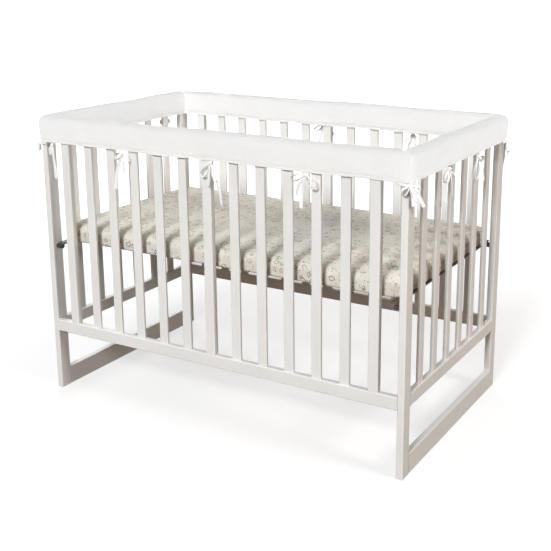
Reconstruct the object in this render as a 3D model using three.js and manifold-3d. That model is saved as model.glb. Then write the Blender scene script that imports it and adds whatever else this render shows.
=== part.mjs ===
// Padded crib rail cover in four sections, tied with fabric bows, on the crib that it fits.
// Millimetres, +Z up, +X along the crib's length, the front towards -Y, origin on the floor.
import * as THREE from 'three';
import Module from 'manifold-3d';
import { mergeVertices } from 'three/addons/utils/BufferGeometryUtils.js';

const wasm = await Module();
wasm.setup();

// Driving sizes of the crib
const crib = { length: 1240, width: 720, height: 882 };
const timber = { thick: 20, postDeep: 42, chamfer: 2 };
const slat = { wide: 30, thick: 10, frontCount: 13, endCount: 6, deep: [0, 6, 12], tenon: 5 };
const rail = { topTall: 40, bottomLow: 198, bottomTall: 38, sledTall: 60 };
const bed = { bottom: 494, tall: 57, length: 1188, width: 652, corner: 34, crown: 4 };
const base = { thick: 6, length: 1180, width: 560, barWide: 24, barReach: 344 };
const peg = { radius: 8, long: 22, root: 1, sides: 12 };
const gap = 0.3;

// Driving sizes of the cover and its ties
const cover = {
  hem: 816, top: 898, half: 26, hemHalf: 16, channelHalf: 12, cornerRound: 36,
  channelRound: 6, mitreGap: 0.25, cornerSteps: 5, drawnIn: 6, drawnPower: 8,
};
const tape = { wide: 10, thick: 1.5, seat: 0.4 };
const knot = { across: 6, deep: 5, tall: 5.5, out: 19, drop: 3, sides: 7, rows: 5 };
const wrap = { out: 3.4, long: 28, tall: 8, knotOut: 4 };

const railCentre = timber.thick / 2;
const halfLength = crib.length / 2;
const halfWidth = crib.width / 2;

const paint = new THREE.MeshStandardMaterial({ color: 0xe2dfd9, roughness: 0.55, metalness: 0 });
const paddedCloth = new THREE.MeshStandardMaterial({ color: 0xf5f5f5, roughness: 0.9, metalness: 0 });
const tapeCloth = new THREE.MeshStandardMaterial({ color: 0xf0f0f0, roughness: 0.9, metalness: 0 });
const sheetCloth = new THREE.MeshStandardMaterial({ color: 0xe6dfd2, roughness: 0.9, metalness: 0 });
const board = new THREE.MeshStandardMaterial({ color: 0xb9a68c, roughness: 0.7, metalness: 0 });

const model = new THREE.Group();

// Shared shape helpers

// A square-cut timber with small chamfers along its length, between two corner points
function barGeometry(low, high, along) {
  const size = high.map((value, i) => value - low[i]);
  const [wide, tall, long] = { x: [size[2], size[1], size[0]], y: [size[0], size[2], size[1]],
    z: [size[0], size[1], size[2]] }[along];
  const [w, h, c] = [wide / 2, tall / 2, timber.chamfer];
  const section = new THREE.Shape([
    [w - c, -h], [w, c - h], [w, h - c], [w - c, h], [c - w, h], [-w, h - c], [-w, c - h], [c - w, -h],
  ].map(([x, y]) => new THREE.Vector2(x, y)));
  const geometry = new THREE.ExtrudeGeometry(section, { depth: long, bevelEnabled: false });
  geometry.translate(0, 0, -long / 2);
  if (along === 'x') geometry.rotateY(Math.PI / 2);
  if (along === 'y') geometry.rotateX(-Math.PI / 2);
  return geometry.translate(...low.map((value, i) => (value + high[i]) / 2));
}

function addMesh(parent, name, geometry, material) {
  const mesh = new THREE.Mesh(geometry, material);
  mesh.name = name;
  parent.add(mesh);
}

function addBar(name, low, high, along) {
  addMesh(model, name, barGeometry(low, high, along), paint);
}

function solidOf(geometry) {
  const bare = geometry.clone();
  bare.deleteAttribute('normal');
  bare.deleteAttribute('uv');
  const merged = mergeVertices(bare, 1e-4);
  return new wasm.Manifold(new wasm.Mesh({
    numProp: 3,
    vertProperties: merged.attributes.position.array,
    triVerts: new Uint32Array(merged.index.array),
  }));
}

// One solid of overlapping pieces; a void left inside, as in a knot, is filled
function joined(geometries) {
  const shells = geometries.map(solidOf).reduce((sum, next) => sum.add(next)).decompose();
  const whole = shells.reduce((best, next) => (next.volume() > best.volume() ? next : best)).getMesh();
  const geometry = new THREE.BufferGeometry();
  geometry.setAttribute('position', new THREE.BufferAttribute(whole.vertProperties, 3));
  geometry.setIndex(new THREE.BufferAttribute(whole.triVerts, 1));
  return geometry;
}

// Six times the volume that the triangles enclose, negative where they face inwards
function enclosed(position, index) {
  const [a, b, c] = [new THREE.Vector3(), new THREE.Vector3(), new THREE.Vector3()];
  let sum = 0;
  for (let i = 0; i < index.length; i += 3) {
    [a, b, c].forEach((corner, k) => corner.fromArray(position, 3 * index[i + k]));
    sum += a.dot(b.cross(c));
  }
  return sum;
}

// A closed solid through rings of points that all follow one outline, with flat ends
function loft(rings, outline) {
  const count = outline.length;
  const position = rings.flat().flatMap((point) => [point.x, point.y, point.z]);
  const index = [];
  for (let ring = 0; ring + 1 < rings.length; ring++) {
    for (let i = 0; i < count; i++) {
      const [a, b] = [ring * count + i, ring * count + (i + 1) % count];
      index.push(a, b, b + count, a, b + count, a + count);
    }
  }
  const last = (rings.length - 1) * count;
  const clockwise = THREE.ShapeUtils.isClockWise(outline);
  for (const [a, p, q] of THREE.ShapeUtils.triangulateShape(outline, [])) {
    const [b, c] = clockwise ? [q, p] : [p, q];
    index.push(a, c, b, last + a, last + b, last + c);
  }
  if (enclosed(position, index) < 0) index.reverse();
  const geometry = new THREE.BufferGeometry();
  geometry.setAttribute('position', new THREE.Float32BufferAttribute(position, 3));
  geometry.setIndex(index);
  return geometry;
}

// Crib: two sled ends, two slatted sides and the base that carries the mattress

function slatStarts(halfRun, count) {
  const space = (2 * halfRun - count * slat.wide) / (count + 1);
  return Array.from({ length: count }, (_, i) => -halfRun + space + i * (space + slat.wide));
}

function addPost(name, xSide, ySide) {
  const x = [halfLength - timber.thick, halfLength].map((value) => value * xSide).sort((a, b) => a - b);
  const y = [halfWidth - timber.postDeep, halfWidth].map((value) => value * ySide).sort((a, b) => a - b);
  const post = barGeometry([x[0], y[0], 0], [x[1], y[1], crib.height], 'z');
  const pin = new THREE.CylinderGeometry(peg.radius, peg.radius, peg.long, peg.sides);
  pin.rotateZ(Math.PI / 2);
  const pinTop = bed.bottom - base.thick - 2 * gap;
  pin.translate(xSide * (halfLength - timber.thick - peg.long / 2 + peg.root),
    ySide * (halfWidth - timber.postDeep / 2), pinTop - peg.radius);
  addMesh(model, name, joined([post, pin]), paint);
}

function addEnd(name, xSide) {
  const x = [halfLength - timber.thick, halfLength].map((value) => value * xSide).sort((a, b) => a - b);
  const reach = halfWidth - timber.postDeep - gap;
  addBar(`sled_rail_${name}`, [x[0], -reach, 0], [x[1], reach, rail.sledTall], 'y');
  const railTop = rail.bottomLow + rail.bottomTall;
  const topLow = crib.height - rail.topTall;
  const bars = [
    barGeometry([x[0], -reach, rail.bottomLow], [x[1], reach, railTop], 'y'),
    barGeometry([x[0], -reach, topLow], [x[1], reach, crib.height], 'y'),
  ];
  const middle = xSide * (halfLength - railCentre);
  for (const start of slatStarts(halfWidth - timber.postDeep, slat.endCount)) {
    bars.push(barGeometry([middle - slat.thick / 2, start, railTop - slat.tenon],
      [middle + slat.thick / 2, start + slat.wide, topLow + slat.tenon], 'z'));
  }
  addMesh(model, `end_panel_${name}`, joined(bars), paint);
}

function addSide(name, ySide) {
  const y = [halfWidth - timber.thick, halfWidth].map((value) => value * ySide).sort((a, b) => a - b);
  const reach = halfLength - timber.thick - gap;
  const railTop = rail.bottomLow + rail.bottomTall;
  const topLow = crib.height - rail.topTall;
  addBar(`bottom_rail_${name}`, [-reach, y[0], rail.bottomLow], [reach, y[1], railTop], 'x');
  addBar(`top_rail_${name}`, [-reach, y[0], topLow], [reach, y[1], crib.height], 'x');
  const middle = ySide * (halfWidth - railCentre);
  slatStarts(halfLength - timber.thick, slat.frontCount).forEach((start, i) => {
    const half = (slat.deep.includes(i) ? timber.thick : slat.thick) / 2;
    addBar(`slat_${name}_${i + 1}`, [start, middle - half, railTop + gap],
      [start + slat.wide, middle + half, topLow - gap], 'z');
  });
}

function addBase() {
  const [low, high] = [bed.bottom - gap - base.thick, bed.bottom - gap];
  const half = [base.length / 2, base.width / 2];
  const bars = [barGeometry([-half[0], -half[1], low], [half[0], half[1], high], 'x')];
  for (const side of [-1, 1]) {
    const x = [half[0] - base.barWide, half[0]].map((value) => value * side).sort((a, b) => a - b);
    bars.push(barGeometry([x[0], -base.barReach, low], [x[1], base.barReach, high], 'y'));
  }
  addMesh(model, 'mattress_base', joined(bars), board);
}

// The mattress is one filled solid: each row gives a level above its underside and the inset there
function addMattress() {
  const levels = [
    { up: 0, inset: 12 }, { up: 4, inset: 3 }, { up: 12, inset: 0 }, { up: bed.tall - 26, inset: 0 },
    { up: bed.tall - 12, inset: 5 }, { up: bed.tall - 3, inset: 15 }, { up: bed.tall, inset: 40 },
    { up: bed.tall + bed.crown, inset: 220 },
  ];
  const cornerSteps = 4;
  const rings = levels.map(({ up, inset }) => {
    const ring = [];
    for (let quarter = 0; quarter < 4; quarter++) {
      const [sx, sy] = [[1, 1], [-1, 1], [-1, -1], [1, -1]][quarter];
      for (let step = 0; step <= cornerSteps; step++) {
        const turn = (quarter + step / cornerSteps) * Math.PI / 2;
        ring.push(new THREE.Vector3(
          sx * (bed.length / 2 - inset - bed.corner) + bed.corner * Math.cos(turn),
          sy * (bed.width / 2 - inset - bed.corner) + bed.corner * Math.sin(turn), bed.bottom + up));
      }
    }
    return ring;
  });
  const outline = rings[0].map((point) => new THREE.Vector2(point.x, point.y));
  addMesh(model, 'mattress', loft(rings, outline), sheetCloth);
}

// Rail cover: an upturned channel of padded cloth, drawn in to a thin hem at its lower edges.
// A row is a point of the section: out from the rail's centre, up from the hem, how much of the
// soft swell there moves it, and which wave lifts it. The channel rests on the rail's top.
const outerRows = [
  { out: cover.hemHalf, up: 0, swell: 0, lift: 'hem' },
  { out: cover.hemHalf + 0.5, up: 7, swell: 0, lift: 'hem' },
  { out: 21.5, up: 12, swell: 0.5, lift: 'hem' },
  { out: 25, up: 25, swell: 1, lift: 'hem' },
  { out: cover.half, up: 44, swell: 1, lift: 'top' },
  { out: cover.half, up: 60, swell: 0.8, lift: 'top' },
  { out: 23.3, up: 72, swell: 0.6, lift: 'top' },
  { out: 16, up: 79.3, swell: 0.4, lift: 'top' },
  { out: 6, up: cover.top - cover.hem, swell: 0, lift: 'top' },
];
const seat = crib.height + gap - cover.hem;
const channelRows = [
  { out: 4, up: seat, swell: 0, lift: 'none' },
  { out: 8, up: seat + 1.7, swell: 0, lift: 'none' },
  { out: cover.channelHalf, up: seat + 0.7, swell: 0, lift: 'none' },
  { out: cover.channelHalf, up: 0, swell: 0, lift: 'hem' },
];
const mirrored = (rows) => rows.map((row) => ({ ...row, out: -row.out })).reverse();
const sectionRows = [...outerRows, ...mirrored(outerRows), ...mirrored(channelRows), ...channelRows];

// Soft waves along a section, fading out at the corners
const waves = {
  swell: [{ long: 410, high: 1.4 }, { long: 233, high: 0.9 }],
  top: [{ long: 530, high: 1.0 }, { long: 290, high: 0.6 }],
  hem: [{ long: 470, high: 0.8 }, { long: 260, high: 0.5 }],
  none: [],
};
const waveShift = 1.7;
const fadePower = 8;
const sides = {
  front: { turn: 0, run: halfLength, depth: halfWidth, start: 0.4, steps: 16 },
  right: { turn: 1, run: halfWidth, depth: halfLength, start: 1.9, steps: 9 },
  back: { turn: 2, run: halfLength, depth: halfWidth, start: 3.1, steps: 16 },
  left: { turn: 3, run: halfWidth, depth: halfLength, start: 4.6, steps: 9 },
};
const pivotInset = timber.thick / 2 + cover.half + 1;

function wave(kind, u, { run, start }) {
  const fade = 1 - (u / (run - pivotInset)) ** fadePower;
  return fade * waves[kind].reduce((sum, row, i) =>
    sum + row.high * Math.sin(2 * Math.PI * u / row.long + start + waveShift * i), 0);
}

// Each point of the section turns the corner on its own rounded square about the inner corner.
// The mitre's seam draws the padding in, less and less away from it.
function cornerPoint(distance, angle) {
  if (angle === 0) return [0, distance];
  const channelReach = cover.channelHalf + cover.half + 1;
  const round = distance > channelReach
    ? cover.channelRound + (distance - channelReach) * (cover.cornerRound - cover.channelRound)
      / (cover.half - cover.channelHalf)
    : cover.channelRound * distance / channelReach;
  const [s, k] = [Math.sin(angle), Math.cos(angle)];
  if (distance * s / k <= distance - round) return [distance * s / k, distance];
  const centre = distance - round;
  const reach = centre * (s + k) + Math.sqrt((centre * (s + k)) ** 2 - 2 * centre ** 2 + round ** 2);
  return [reach * s, reach * k];
}

function addCover(name) {
  const { run, depth, steps } = sides[name];
  const pivot = run - pivotInset;
  const stations = [];
  const turned = (side, i) => ({ u: side * pivot, angle: i / cover.cornerSteps, side });
  for (let i = cover.cornerSteps; i > 0; i--) stations.push(turned(-1, i));
  for (let i = 0; i <= steps; i++) stations.push({ u: -pivot + 2 * pivot * i / steps, angle: 0, side: 0 });
  for (let i = 1; i <= cover.cornerSteps; i++) stations.push(turned(1, i));
  const rings = stations.map(({ u, angle, side }) => sectionRows.map(({ out, up, swell, lift }) => {
    const drawn = cover.drawnIn * angle ** cover.drawnPower;
    const swollen = out + Math.sign(out) * swell * (wave('swell', u, sides[name]) - drawn);
    const sunk = lift === 'top' ? drawn * (1 - swell) : 0;
    const [beyond, away] = cornerPoint(swollen + cover.half + 1, angle * Math.PI / 4);
    return new THREE.Vector3(u + side * (beyond - cover.mitreGap * angle), -(depth - pivotInset + away),
      cover.hem + up + wave(lift, u, sides[name]) - sunk);
  }));
  const outline = sectionRows.map(({ out, up }) => new THREE.Vector2(out, up));
  addMesh(groups[name], `cover_${name}`, loft(rings, outline), paddedCloth);
}

// Ties: narrow tapes sewn under both hems, knotted outside the rail in a small bow.
// A loop turns from straight down (0) towards the right as seen from outside (+90 degrees).
// A tail ends the stated way across and down from its knot.

function tapeStrip(centres, widths) {
  const rings = centres.map((centre, i) => {
    const before = centres[Math.max(i - 1, 0)];
    const after = centres[Math.min(i + 1, centres.length - 1)];
    const tangent = after.clone().sub(before).normalize();
    const across = widths[i].clone().addScaledVector(tangent, -widths[i].dot(tangent)).normalize();
    const normal = tangent.clone().cross(across);
    return [[1, 1], [-1, 1], [-1, -1], [1, -1]].map(([w, t]) => centre.clone()
      .addScaledVector(across, w * tape.wide / 2).addScaledVector(normal, t * tape.thick / 2));
  });
  return loft(rings, [[1, 1], [-1, 1], [-1, -1], [1, -1]].map(([x, y]) => new THREE.Vector2(x, y)));
}

// A teardrop loop, whose two ends stay a little apart inside the knot
function loopStrip({ angle, long, half, lean }) {
  const turn = angle * Math.PI / 180;
  const axis = new THREE.Vector3(Math.sin(turn), 0, -Math.cos(turn));
  const side = new THREE.Vector3(Math.cos(turn), 0, Math.sin(turn));
  side.applyAxisAngle(axis, lean * Math.PI / 180);
  const width = axis.clone().cross(side);
  const at = (t) => axis.clone().multiplyScalar(long * Math.sin(Math.PI * t))
    .addScaledVector(side, half * Math.sin(2 * Math.PI * t));
  const [first, last, steps] = [0.025, 0.975, 9];
  const centres = Array.from({ length: steps + 1 }, (_, i) => at(first + (last - first) * i / steps));
  return tapeStrip(centres, centres.map(() => width));
}

// A tail springs sideways and out from the knot, then hangs; its flat side faces outwards
function tail({ across, down, twist = 0 }) {
  const [springAcross, springDown, out, steps] = [0.7, 0.3, 3, 4];
  const knotCentre = new THREE.Vector3(0, 0, 0);
  const spring = new THREE.Vector3(across * springAcross, -out, -down * springDown);
  const freeEnd = new THREE.Vector3(across, -out / 2, -down);
  const curve = new THREE.QuadraticBezierCurve3(knotCentre, spring, freeEnd);
  const centres = curve.getPoints(steps);
  const face = new THREE.Vector3(1, 0, 0.3);
  return tapeStrip(centres, centres.map((_, i) => face.clone()
    .applyAxisAngle(new THREE.Vector3(0, 0, 1), twist * i / steps * Math.PI / 180)));
}

function bow({ loops, tails }) {
  const ball = new THREE.SphereGeometry(1, knot.sides, knot.rows);
  ball.rotateX(Math.PI / 2);
  ball.scale(knot.across, knot.deep, knot.tall);
  return [ball, ...loops.map(loopStrip), ...tails.map(tail)];
}

// Ties round the rail: at is measured from the side's left end as seen from outside
const railTies = [
  { side: 'front', at: 52, loops: [], tails: [{ across: 9, down: 104 }, { across: -10, down: 30 }] },
  { side: 'front', at: 331,
    loops: [{ angle: -58, long: 32, half: 9, lean: 20 }, { angle: 35, long: 30, half: 8, lean: -25 }],
    tails: [{ across: -32, down: 112, twist: 25 }, { across: 5, down: 58 }] },
  { side: 'front', at: 644,
    loops: [{ angle: -36, long: 50, half: 10, lean: 0 }, { angle: 22, long: 54, half: 10, lean: 30 }],
    tails: [{ across: 36, down: 118, twist: -20 }, { across: -9, down: 66 }] },
  { side: 'front', at: 949,
    loops: [{ angle: -72, long: 48, half: 8, lean: 20 }, { angle: 42, long: 44, half: 10, lean: -10 }],
    tails: [{ across: -29, down: 56 }, { across: -13, down: 92, twist: 30 }] },
  { side: 'right', at: 244,
    loops: [{ angle: -42, long: 42, half: 10, lean: 10 }, { angle: 58, long: 36, half: 10, lean: -20 }],
    tails: [{ across: -22, down: 92 }, { across: 24, down: 84, twist: 30 }] },
  { side: 'right', at: 462,
    loops: [{ angle: -14, long: 68, half: 11, lean: 25 }, { angle: 68, long: 48, half: 9, lean: 0 }],
    tails: [{ across: 58, down: 82, twist: 20 }, { across: -16, down: 60 }] },
  { side: 'back', at: 650,
    loops: [{ angle: -40, long: 30, half: 8, lean: 0 }, { angle: 62, long: 38, half: 8, lean: 15 }],
    tails: [{ across: -40, down: 26 }, { across: 14, down: 62 }] },
  { side: 'back', at: 312,
    loops: [{ angle: -30, long: 42, half: 9, lean: 0 }, { angle: 36, long: 40, half: 9, lean: 0 }],
    tails: [{ across: -14, down: 74, twist: 20 }, { across: 20, down: 66 }] },
  { side: 'left', at: 288,
    loops: [{ angle: -52, long: 34, half: 8, lean: 0 }, { angle: 52, long: 34, half: 8, lean: 0 }],
    tails: [{ across: -12, down: 60 }, { across: 14, down: 70 }] },
  { side: 'left', at: 98,
    loops: [{ angle: -40, long: 34, half: 8, lean: 0 }, { angle: 46, long: 32, half: 8, lean: 0 }],
    tails: [{ across: -15, down: 66 }, { across: 10, down: 58 }] },
];

function addRailTie({ side, at, loops, tails }, number) {
  const { run, depth } = sides[side];
  const u = at - run;
  const centre = depth - railCentre;
  const strapTop = cover.hem + wave('hem', u, sides[side]) - tape.seat;
  const reach = (cover.hemHalf + cover.channelHalf) / 2;
  const strap = new THREE.BoxGeometry(tape.wide, reach + knot.out, tape.thick);
  strap.translate(u, -centre - (knot.out - reach) / 2, strapTop - tape.thick / 2);
  const parts = bow({ loops, tails }).map((geometry) =>
    geometry.translate(u, -centre - knot.out, strapTop - knot.drop - knot.tall / 2));
  addMesh(groups[side], `tie_${side}_${number}`, joined([strap, ...parts]), tapeCloth);
}

// Ties that hold two sections together round a post
const cornerTies = [
  { name: 'front_right', turn: 0,
    loops: [{ angle: 72, long: 26, half: 7, lean: 20 }, { angle: 34, long: 50, half: 10, lean: 0 },
      { angle: -48, long: 28, half: 8, lean: 10 }],
    tails: [{ across: 12, down: 52 }, { across: 38, down: 56, twist: 20 }] },
  { name: 'back_right', turn: 1,
    loops: [{ angle: 40, long: 26, half: 7, lean: 0 }, { angle: -36, long: 34, half: 8, lean: 20 }],
    tails: [{ across: 20, down: 80, twist: 20 }, { across: -14, down: 44 }] },
  { name: 'front_left', turn: 3,
    loops: [{ angle: -30, long: 24, half: 7, lean: 0 }],
    tails: [{ across: -12, down: 42 }, { across: 6, down: 34 }] },
];

function addCornerTie({ name, turn, loops, tails }) {
  const [x, y] = turn % 2 === 0 ? [halfLength, halfWidth] : [halfWidth, halfLength];
  const high = cover.hem - tape.seat;
  const wraps = [
    new THREE.BoxGeometry(wrap.long, tape.thick, wrap.tall)
      .translate(wrap.out - wrap.long / 2, -wrap.out, 0),
    new THREE.BoxGeometry(tape.thick, wrap.long, wrap.tall)
      .translate(wrap.out, wrap.long / 2 - wrap.out, 0),
  ].map((geometry) => geometry.translate(x, -y, high - wrap.tall / 2));
  const parts = bow({ loops, tails }).map((geometry) =>
    geometry.rotateZ(Math.PI / 4).translate(x + wrap.knotOut, -y - wrap.knotOut, high - knot.tall));
  const group = new THREE.Group();
  group.rotation.z = turn * Math.PI / 2;
  model.add(group);
  addMesh(group, `tie_corner_${name}`, joined([...wraps, ...parts]), tapeCloth);
}

addPost('post_front_left', -1, -1);
addPost('post_front_right', 1, -1);
addPost('post_back_left', -1, 1);
addPost('post_back_right', 1, 1);
addEnd('left', -1);
addEnd('right', 1);
addSide('front', -1);
addSide('back', 1);
addBase();
addMattress();

const groups = {};
for (const [name, { turn }] of Object.entries(sides)) {
  groups[name] = new THREE.Group();
  groups[name].rotation.z = turn * Math.PI / 2;
  model.add(groups[name]);
  addCover(name);
}
railTies.forEach((tie, i) => addRailTie(tie, i + 1));
cornerTies.forEach(addCornerTie);

export default model;
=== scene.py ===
import math

import bmesh
import bpy
import numpy as np
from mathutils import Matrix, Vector, noise


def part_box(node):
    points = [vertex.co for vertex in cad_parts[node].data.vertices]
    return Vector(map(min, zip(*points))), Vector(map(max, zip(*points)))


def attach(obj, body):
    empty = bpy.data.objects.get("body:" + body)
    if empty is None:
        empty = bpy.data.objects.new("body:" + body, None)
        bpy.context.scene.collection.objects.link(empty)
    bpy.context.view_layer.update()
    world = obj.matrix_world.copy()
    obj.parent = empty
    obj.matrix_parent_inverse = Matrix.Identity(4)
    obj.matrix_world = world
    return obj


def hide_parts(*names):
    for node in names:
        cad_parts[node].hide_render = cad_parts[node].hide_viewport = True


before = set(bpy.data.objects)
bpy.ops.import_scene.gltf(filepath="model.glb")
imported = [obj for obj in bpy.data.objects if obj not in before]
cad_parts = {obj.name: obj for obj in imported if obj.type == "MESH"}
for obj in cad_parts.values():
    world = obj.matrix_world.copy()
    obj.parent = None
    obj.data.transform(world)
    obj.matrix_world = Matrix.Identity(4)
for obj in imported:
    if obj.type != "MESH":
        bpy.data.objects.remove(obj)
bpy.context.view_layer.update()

MM = 0.001

# The crib's sizes, read from the frame
post_low, post_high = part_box("post_front_right")
HALF_LENGTH = post_high[0]
HALF_WIDTH = -post_low[1]
POST_THICK = 20 * MM
PEG_FROM = HALF_LENGTH - POST_THICK - 0.4 * MM  # pegs are nearer to the middle than this
rail_low, rail_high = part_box("top_rail_front")
RAIL_CENTRE = (rail_high[1] - rail_low[1]) / 2
bed_low, bed_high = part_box("mattress")

# The cover's driving sizes, as in the solids
HEM_HIGH = 816 * MM
HEM_HALF = 16 * MM
HALF = 26 * MM
CHANNEL_HALF = 12 * MM
CORNER_ROUND = 36 * MM
CHANNEL_ROUND = 6 * MM
MITRE_GAP = 0.25 * MM
PIVOT_REACH = HALF + 1 * MM  # from the rail's centre in to the pivot that a corner turns about
PIVOT_INSET = RAIL_CENTRE + PIVOT_REACH
HALF_CORNER = math.pi / 4
FADE_POWER = 8
WAVE_SHIFT = 1.7
WAVES = {  # length and height of each soft wave along a section
    "swell": ((0.410, 0.0014), (0.233, 0.0009)),
    "top": ((0.530, 0.0010), (0.290, 0.0006)),
    "hem": ((0.470, 0.0008), (0.260, 0.0005)),
}
SIDES = {  # quarter turns, half the run, distance of the outer face, where the waves start
    "front": (0, HALF_LENGTH, HALF_WIDTH, 0.4),
    "right": (1, HALF_WIDTH, HALF_LENGTH, 1.9),
    "back": (2, HALF_LENGTH, HALF_WIDTH, 3.1),
    "left": (3, HALF_WIDTH, HALF_LENGTH, 4.6),
}


# Mesh helpers

FINE_STEPS = 12  # steps that smooth_line measures for each point that it gives


def mesh_object(name, points, faces, material, uvs=None):
    mesh = bpy.data.meshes.new(name)
    mesh.from_pydata([tuple(point) for point in points], [], [tuple(face) for face in faces])
    mesh.polygons.foreach_set("use_smooth", [True] * len(mesh.polygons))
    if uvs is not None:
        layer = mesh.uv_layers.new(name="cloth")
        corner = np.empty(len(mesh.loops), dtype=np.int32)
        mesh.loops.foreach_get("vertex_index", corner)
        layer.data.foreach_set("uv", np.asarray(uvs, dtype=np.float32)[corner].ravel())
    mesh.materials.append(material)
    mesh.update()
    piece = bpy.data.objects.new(name, mesh)
    bpy.context.scene.collection.objects.link(piece)
    return piece


def ring_faces(rings, count, start=0):
    """Quads between rings of count points, with a flat face on each end."""
    faces = []
    for ring in range(rings - 1):
        for i in range(count):
            a = start + ring * count + i
            b = start + ring * count + (i + 1) % count
            faces.append((a, b, b + count, a + count))
    last = start + (rings - 1) * count
    faces.append(tuple(range(start + count - 1, start - 1, -1)))
    faces.append(tuple(range(last, last + count)))
    return faces


def outward(piece):
    """Turns the faces so that they all point out."""
    shape = bmesh.new()
    shape.from_mesh(piece.data)
    bmesh.ops.recalc_face_normals(shape, faces=shape.faces)
    shape.to_mesh(piece.data)
    shape.free()
    return piece


def unit(vectors):
    return vectors / np.linalg.norm(vectors, axis=-1, keepdims=True)


def path_length(path):
    """The length run at each point of a path."""
    return np.concatenate(([0.0], np.cumsum(np.linalg.norm(np.diff(path, axis=0), axis=1))))


def smooth_line(rows, count):
    """Points at even steps along a smooth curve through the rows; columns past two ride along."""
    rows = np.asarray(rows, dtype=float)
    at = path_length(rows[:, :2])
    steps = np.diff(at)
    slope = np.gradient(rows, at, axis=0)
    fine = np.linspace(0, at[-1], FINE_STEPS * count)
    seg = np.clip(np.searchsorted(at, fine, side="right") - 1, 0, len(at) - 2)
    span = steps[seg][:, None]
    t = (fine - at[seg])[:, None] / span
    curve = ((2 * t**3 - 3 * t**2 + 1) * rows[seg] + (t**3 - 2 * t**2 + t) * span * slope[seg]
             + (3 * t**2 - 2 * t**3) * rows[seg + 1] + (t**3 - t**2) * span * slope[seg + 1])
    run = path_length(curve[:, :2])
    even = np.linspace(0, run[-1], count)
    return np.stack([np.interp(even, run, column) for column in curve.T], axis=1), even


def turned(points, quarter):
    """The points turned by quarters of a full turn about Z."""
    k, s = [(1, 0), (0, 1), (-1, 0), (0, -1)][quarter]
    x, y = points[..., 0], points[..., 1]
    return np.stack([x * k - y * s, x * s + y * k, points[..., 2]], axis=-1)


def noise_at(*columns):
    """Smooth noise, about -1 to 1, at each row of the columns."""
    spots = np.stack(np.broadcast_arrays(*columns), axis=-1)
    flat = [noise.noise(Vector(spot)) for spot in spots.reshape(-1, 3)]
    return np.array(flat).reshape(spots.shape[:-1])


def relief_of(kind, x, y, z):
    """Height of one kind of relief: its noise changes over its lengths and is read from its own slice."""
    long_x, long_y, long_z = kind["long"]
    return kind["high"] * noise_at(x / long_x, y / long_y, z / long_z + kind["slice"])


# Material helpers

NOISE_MIDDLE = (0.35, 0.65)  # most values of a noise lie between these
NOISE_MOST = (0.3, 0.7)
CLOTH_SPECULAR = 0.25


def new_material(name):
    material = bpy.data.materials.new(name)
    material.use_nodes = True
    tree = material.node_tree
    return material, tree, tree.nodes["Principled BSDF"]


def node(tree, kind, **values):
    """A new node; a value goes to the input or the setting of that name."""
    made = tree.nodes.new(kind)
    for name, value in values.items():
        label = name.replace("_", " ")
        socket = next((s for s in made.inputs if s.name.lower() == label), None)
        if socket is None:
            setattr(made, name, value)
        else:
            feed(tree, socket, value)
    return made


def feed(tree, socket, value):
    """Links another node's output to the socket, or sets a plain value on it."""
    if isinstance(value, bpy.types.NodeSocket):
        tree.links.new(value, socket)
    else:
        socket.default_value = value


def maths(tree, operation, *values):
    made = tree.nodes.new("ShaderNodeMath")
    made.operation = operation
    for socket, value in zip(made.inputs, values):
        feed(tree, socket, value)
    return made.outputs[0]


def scaled(tree, coordinates, scale, shift=0.0):
    made = node(tree, "ShaderNodeMapping", vector=coordinates, scale=scale, location=(shift, shift, 0))
    return made.outputs[0]


def noise_value(tree, coordinates, scale, detail=3.0, rough=0.5):
    made = node(tree, "ShaderNodeTexNoise", vector=coordinates, scale=scale, detail=detail, roughness=rough)
    return made.outputs["Fac"]


def mixed(tree, share, low, high):
    """The colour between low and high, by share."""
    made = tree.nodes.new("ShaderNodeMix")
    made.data_type = "RGBA"
    tree.links.new(share, made.inputs["Factor"])
    for socket, value in ((made.inputs["A"], low), (made.inputs["B"], high)):
        feed(tree, socket, (*value, 1) if isinstance(value, tuple) else value)
    return made.outputs["Result"]


def mapped(tree, value, source, target=(0, 1)):
    """The value moved from the source range to the target range, and held inside it."""
    made = node(tree, "ShaderNodeMapRange", clamp=True, value=value, from_min=source[0], from_max=source[1],
                to_min=target[0], to_max=target[1])
    return made.outputs["Result"]


def bumped(tree, shader, height, distance, strength, below=None):
    made = node(tree, "ShaderNodeBump", strength=strength, distance=distance, height=height)
    if below is not None:
        tree.links.new(below, made.inputs["Normal"])
    tree.links.new(made.outputs[0], shader.inputs["Normal"])
    return made.outputs[0]


def split(tree, coordinates):
    made = node(tree, "ShaderNodeSeparateXYZ", vector=coordinates)
    return made.outputs[0], made.outputs[1], made.outputs[2]


def uv_of(tree):
    return node(tree, "ShaderNodeUVMap", uv_map="cloth").outputs[0]


def object_place(tree):
    return tree.nodes.new("ShaderNodeTexCoord").outputs["Object"]


def weave(tree, coordinates, pitch):
    """Height of a plain weave: one set of threads rises where the other dips."""
    across, along, _ = split(tree, coordinates)
    over = maths(tree, "SINE", maths(tree, "MULTIPLY", across, math.pi / pitch))
    under = maths(tree, "SINE", maths(tree, "MULTIPLY", along, math.pi / pitch))
    return maths(tree, "MULTIPLY", over, under)


def off_by(tree, value, line):
    """How far the value is from the line."""
    return maths(tree, "ABSOLUTE", maths(tree, "SUBTRACT", value, line))


def stroke(tree, away, half):
    """1 on a line of this half width, fading out over its outer half."""
    return mapped(tree, away, (half * 0.5, half), (1, 0))


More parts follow.
